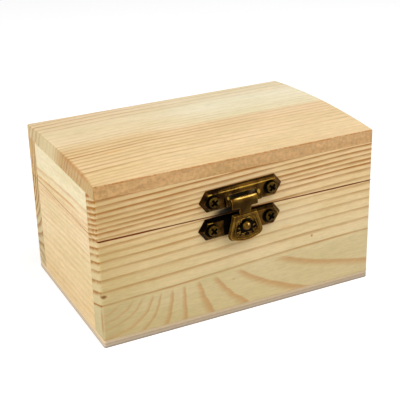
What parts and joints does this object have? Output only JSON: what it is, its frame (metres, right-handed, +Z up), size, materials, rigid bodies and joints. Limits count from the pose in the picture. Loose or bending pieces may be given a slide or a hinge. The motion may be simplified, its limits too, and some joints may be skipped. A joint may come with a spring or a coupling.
{
  "type": "wooden box",
  "caption": "Small rectangular pine box with a gently crowned hinged lid, butt-lapped walls, a plywood bottom, a pressed metal tongue latch in front and butt hinges behind.",
  "frame": {"origin": "centre of the underside of the bottom board, on the surface that the box stands on", "axes": "+X to the right along the box, +Y to the hinged back, +Z up; the latch faces -Y"},
  "size_m": [0.1, 0.0718, 0.0571],
  "materials": {
    "pine": "bare sanded pine",
    "plywood": "bare sanded plywood",
    "antique_brass": "dark antique plating, rubbed bright on the edges",
    "screw_metal": "dark antique plating"
  },
  "bodies": {
    "base": {"base_front_panel": "pine", "base_back_panel": "pine", "base_left_panel": "pine", "base_right_panel": "pine", "bottom_board": "plywood", "latch_catch_plate": "antique_brass", "latch_catch_screws": "screw_metal", "hinge_left_base_leaf": "antique_brass", "hinge_left_base_screws": "screw_metal", "hinge_left_pin": "antique_brass", "hinge_right_base_leaf": "antique_brass", "hinge_right_base_screws": "screw_metal", "hinge_right_pin": "antique_brass"},
    "lid": {"lid_top_board": "pine", "lid_front_panel": "pine", "lid_back_panel": "pine", "lid_left_panel": "pine", "lid_right_panel": "pine", "latch_hasp_plate": "antique_brass", "latch_hasp_screws": "screw_metal", "latch_pin": "antique_brass", "hinge_left_lid_leaf": "antique_brass", "hinge_left_lid_screws": "screw_metal", "hinge_right_lid_leaf": "antique_brass", "hinge_right_lid_screws": "screw_metal"},
    "tongue": {"latch_tongue": "antique_brass", "latch_knob": "antique_brass"}
  },
  "joints": [
    {"name": "lid_hinge", "type": "hinge", "parent": "base", "child": "lid", "pos_m": [0, 0.0339, 0.0374], "axis": [-1, 0, 0], "range_deg": [0, 160]},
    {"name": "latch_hinge", "type": "hinge", "parent": "lid", "child": "tongue", "pos_m": [-0.00067, -0.03405, 0.0416], "axis": [-0.999, 0, -0.0454], "range_deg": [0, 120]}
  ]
}
